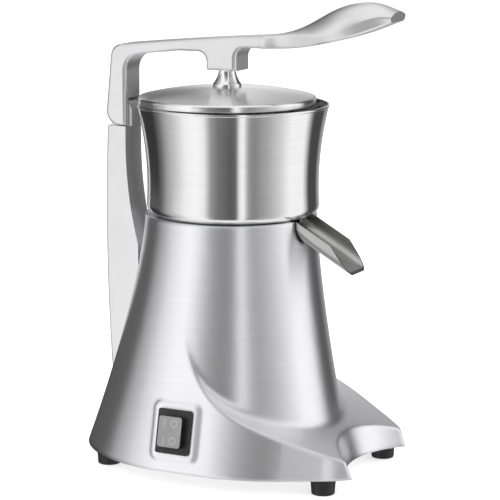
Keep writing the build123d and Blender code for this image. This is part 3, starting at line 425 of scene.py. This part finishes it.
def makeSurround():
    world = bpy.data.worlds.new("surround")
    scene.world = world
    world.use_nodes = True
    tree = world.node_tree
    tree.nodes.clear()
    path = tree.nodes.new("ShaderNodeLightPath")
    seen = addMath(tree, "MAXIMUM", path.outputs["Is Camera Ray"], path.outputs["Is Glossy Ray"])
    strength = addRange(tree, seen, unit, (surround["light"], surround["look"]))
    background = tree.nodes.new("ShaderNodeBackground")
    tree.links.new(strength, background.inputs["Strength"])
    background.inputs["Color"].default_value = white
    output = tree.nodes.new("ShaderNodeOutputWorld")
    tree.links.new(background.outputs[0], output.inputs["Surface"])


# the glow keeps the floor white in the picture and its shadows faint
paper = {
    "reach": 6.0,
    "tone": 0.9,
    "rough": 0.9,
    "specular": 0.1,
    "glow": 0.55,
}


def makeFloor():
    floor = newSheet("floor", squareCorners(paper["reach"], 0.0), [(0, 1, 2, 3)])
    material, tree = newMaterial("floorPaper")
    shader = tree.nodes["Principled BSDF"]
    shader.inputs["Base Color"].default_value = (*grey(paper["tone"]), 1.0)
    shader.inputs["Roughness"].default_value = paper["rough"]
    shader.inputs["Specular IOR Level"].default_value = paper["specular"]
    seen = tree.nodes.new("ShaderNodeLightPath").outputs["Is Camera Ray"]
    tree.links.new(addMath(tree, "MULTIPLY", seen, paper["glow"]), shader.inputs["Emission Strength"])
    shader.inputs["Emission Color"].default_value = white
    floor.data.materials.append(material)
    floor.visible_glossy = False


def showInReflections(card):
    card.visible_camera = False
    card.visible_diffuse = False
    card.visible_transmission = False
    card.visible_shadow = False


cards = {
    "radius": 3.0,
    "heights": (-3.2, 5.5),
    "sides": 96,
    "topFade": (1.9, 5.2),
    "topTone": 0.95,
    "lowFade": (-2.1, -3.1),
    "lowTone": 0.9,
    "innerRadius": 2.9,
}
# tones of the ring of cards by degrees from the camera, to its right
ringTones = ((-180, 0.95), (-176, 0.26), (-170, 0.10), (-164, 0.04), (-119, 0.04), (-107, 0.18),
             (-96, 0.42), (-84, 0.60), (-65, 1.02), (-50, 1.1), (-39, 1.0), (-30, 0.36), (-21, 0.2),
             (-3, 0.11), (4, 0.14), (8.5, 0.95), (13.5, 1.1), (18.5, 0.45), (24, 0.28), (30, 0.28),
             (47, 0.46), (65, 0.74), (80, 1.05), (105, 1.05), (112, 0.55), (119, 0.07), (143, 0.07),
             (153, 0.36), (172, 0.42), (180, 0.95))
# cards inside the ring: degrees, heights and tone
innerCards = {
    "edgeCard": ((-165, -112), (-0.15, 0.8), 0.14),
    "flareCard": ((-110, -86), (0.3, 1.1), 0.7),
    "frontCard": ((-86, -62), (0.0, 1.1), 1.0),
    "flankCard": ((-46, -30), (0.4, 1.7), 0.3),
}


def onRing(radius, turn):
    return (radius * math.cos(turn), radius * math.sin(turn))


def makeRing(facing):
    sides = cards["sides"]
    points = []
    faces = []
    for index in range(sides):
        corner = onRing(cards["radius"], math.tau * index / sides)
        points += [(*corner, height) for height in cards["heights"]]
        after = (index + 1) % sides
        faces.append((2 * index, 2 * after, 2 * after + 1, 2 * index + 1))
    ring = newSheet("cards", points, faces)
    ring.rotation_euler = (0, 0, facing)
    material, tree = newMaterial("cardTones")
    tree.nodes.clear()
    parts = tree.nodes.new("ShaderNodeSeparateXYZ")
    tree.links.new(tree.nodes.new("ShaderNodeTexCoord").outputs["Object"], parts.inputs[0])
    x, y, z = parts.outputs
    turns = addMath(tree, "DIVIDE", addMath(tree, "ARCTAN2", y, x), math.tau)
    share = addMath(tree, "ADD", turns, 0.5)
    ramp = tree.nodes.new("ShaderNodeValToRGB")
    tree.links.new(share, ramp.inputs[0])
    stops = ramp.color_ramp.elements
    stops.remove(stops[1])
    for index, (degree, tone) in enumerate(ringTones):
        stop = stops.new(degree / 360 + 0.5) if index else stops[0]
        stop.color = (*grey(tone), 1.0)
    colour = ramp.outputs["Color"]
    for fade, tone in (("topFade", "topTone"), ("lowFade", "lowTone")):
        colour = addMix(tree, addRange(tree, z, cards[fade], unit), colour, grey(cards[tone]))
    light = tree.nodes.new("ShaderNodeEmission")
    tree.links.new(colour, light.inputs["Color"])
    output = tree.nodes.new("ShaderNodeOutputMaterial")
    tree.links.new(light.outputs[0], output.inputs["Surface"])
    ring.data.materials.append(material)
    showInReflections(ring)


def makeCard(name, corners, tone):
    # a plain card of one tone
    card = newSheet(name, corners, [(0, 1, 2, 3)])
    material, tree = newMaterial(name)
    shader = tree.nodes["Principled BSDF"]
    shader.inputs["Base Color"].default_value = black
    shader.inputs["Specular IOR Level"].default_value = 0.0
    shader.inputs["Emission Color"].default_value = white
    shader.inputs["Emission Strength"].default_value = tone
    card.data.materials.append(material)
    showInReflections(card)


def makeInnerCards(facing):
    # they correct the left side of the body, and stand above most of what the bowl reflects
    for name, (degrees, (low, high), tone) in innerCards.items():
        first, last = [onRing(cards["innerRadius"], facing + math.radians(degree)) for degree in degrees]
        makeCard(name, [(*first, low), (*last, low), (*last, high), (*first, high)], tone)


lampAim = (0.0, 0.0, 0.18)
# place, size and power of each lamp
lamps = {
    "leftBox": ((-1.5, 0.9, 1.3), (1.0, 1.4), 6.0),
    "rightBox": ((0.4, -1.9, 1.2), (1.0, 1.4), 5.0),
    "topBox": ((0.2, 0.2, 2.0), (1.6, 1.6), 5.0),
}


def addLamps():
    for name, (place, size, power) in lamps.items():
        lamp = bpy.data.lights.new(name, "AREA")
        lamp.shape = "RECTANGLE"
        lamp.size, lamp.size_y = size
        lamp.energy = power
        holder = bpy.data.objects.new(name, lamp)
        holder.location = place
        aimAt(holder, lampAim)
        holder.visible_glossy = False
        scene.collection.objects.link(holder)


placeCamera()
makeSurround()
makeFloor()
facing = math.atan2(view["place"][1], view["place"][0])
makeRing(facing)
makeCard("topCard", squareCorners(cards["radius"], cards["heights"][1]), cards["topTone"])
makeInnerCards(facing)
addLamps()
scene.view_settings.view_transform = "Standard"
print("studio set")
